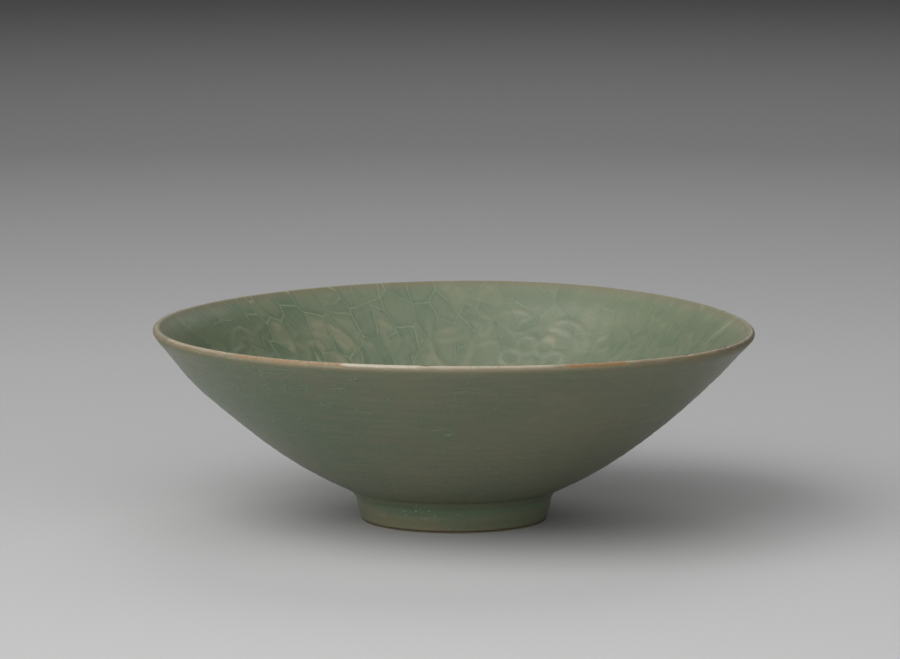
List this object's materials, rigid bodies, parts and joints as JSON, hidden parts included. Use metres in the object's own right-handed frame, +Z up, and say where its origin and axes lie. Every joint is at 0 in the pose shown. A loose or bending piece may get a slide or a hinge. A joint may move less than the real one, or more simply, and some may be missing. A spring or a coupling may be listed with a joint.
{
  "type": "relief-decorated bowl",
  "caption": "Wide conical celadon bowl on a turned foot ring, moulded inside with a low floral scroll relief, for serving food or tea.",
  "frame": {"origin": "centre of the plane that the foot ring rests on", "axes": "+Z up along the bowl's axis, out of its mouth; -Y is the side that faces the viewer, +X is to the right"},
  "size_m": [0.186, 0.186, 0.0605],
  "materials": {
    "stoneware": "bare fired stoneware, matt and granular, pale beige to orange",
    "inner_glaze": "satin gloss celadon glaze, crackled, pale on raised forms and blue-green in hollows",
    "outer_glaze": "satin gloss celadon glaze, thin and olive grey, faintly streaked",
    "base_glaze": "satin gloss celadon glaze, pooled",
    "quartz": "rough white quartz stubs left by the kiln spurs"
  },
  "bodies": {
    "root": {"stoneware_body": "stoneware", "inner_glaze": "inner_glaze", "outer_glaze": "outer_glaze", "base_glaze": "base_glaze", "spur_mark_1": "quartz", "spur_mark_2": "quartz", "spur_mark_3": "quartz"}
  },
  "joints": []
}
